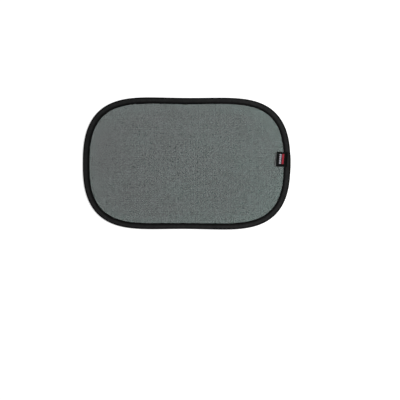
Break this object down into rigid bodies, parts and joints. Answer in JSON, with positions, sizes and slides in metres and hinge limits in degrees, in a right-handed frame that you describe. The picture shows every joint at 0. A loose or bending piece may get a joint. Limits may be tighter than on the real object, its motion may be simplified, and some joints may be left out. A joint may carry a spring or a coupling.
{
  "type": "car side window sunshade",
  "caption": "Flat shade of fine dark mesh over a clear cling film, kept taut by a sprung wire loop in a sewn tape edge, with a small woven label on one side.",
  "frame": {"origin": "middle of the outline, on the plane that the shade lies on", "axes": "+X to the label's side along the shade's length, +Y to the top edge, +Z out of the front, away from the glass"},
  "size_m": [0.48, 0.305, 0.0044],
  "materials": {
    "mesh_fabric": "fine open mesh of dark polyester yarn",
    "cling_film": "clear soft vinyl film",
    "spring_steel": "drawn spring wire",
    "crimped_steel": "plated, crimped",
    "binding_tape": "black woven tape",
    "sewing_thread": "black polyester thread",
    "woven_label": "folded woven label, black with a pale and a red stripe"
  },
  "bodies": {
    "root": {"mesh_panel": "mesh_fabric", "cling_film": "cling_film", "spring_wire": "spring_steel", "wire_sleeve": "crimped_steel", "edge_binding": "binding_tape", "needle_thread": "sewing_thread", "bobbin_thread": "sewing_thread", "label_tab": "woven_label"}
  },
  "joints": []
}
